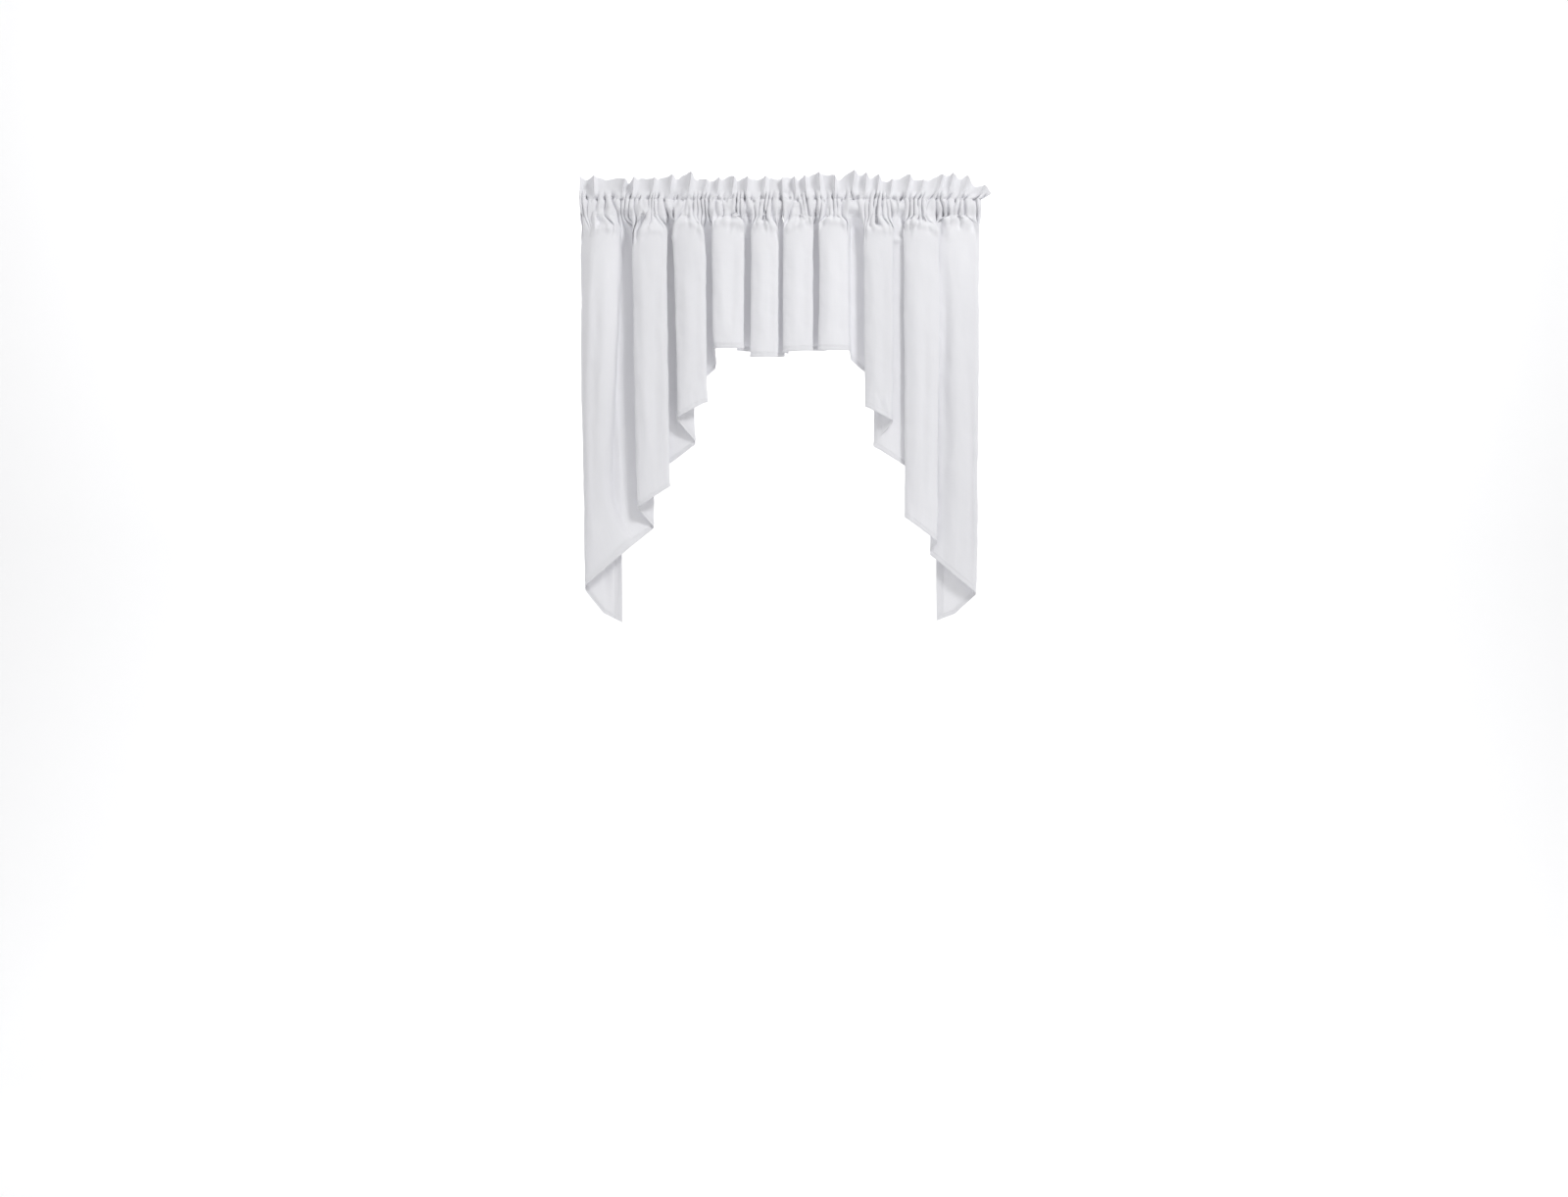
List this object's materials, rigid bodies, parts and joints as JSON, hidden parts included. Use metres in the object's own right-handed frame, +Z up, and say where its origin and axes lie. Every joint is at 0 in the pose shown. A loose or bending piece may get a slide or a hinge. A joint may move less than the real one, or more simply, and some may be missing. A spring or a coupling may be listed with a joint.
{
  "type": "pair of rod pocket curtains",
  "caption": "White rod pocket swag curtains with a ruffled header, gathered into round pipes, short in the middle and long at the outer sides",
  "frame": {"origin": "the middle of the pair on the middle line of the rod pockets", "axes": "+X along the rod to the right as seen from the room, +Y away from the room towards the window, +Z up"},
  "size_m": [0.8898, 0.048, 0.978],
  "materials": {
    "white_cloth": "plain woven cotton blend with a soft sheen"
  },
  "bodies": {
    "root": {"left_panel": "white_cloth", "left_heading": "white_cloth", "right_panel": "white_cloth", "right_heading": "white_cloth"}
  },
  "joints": []
}
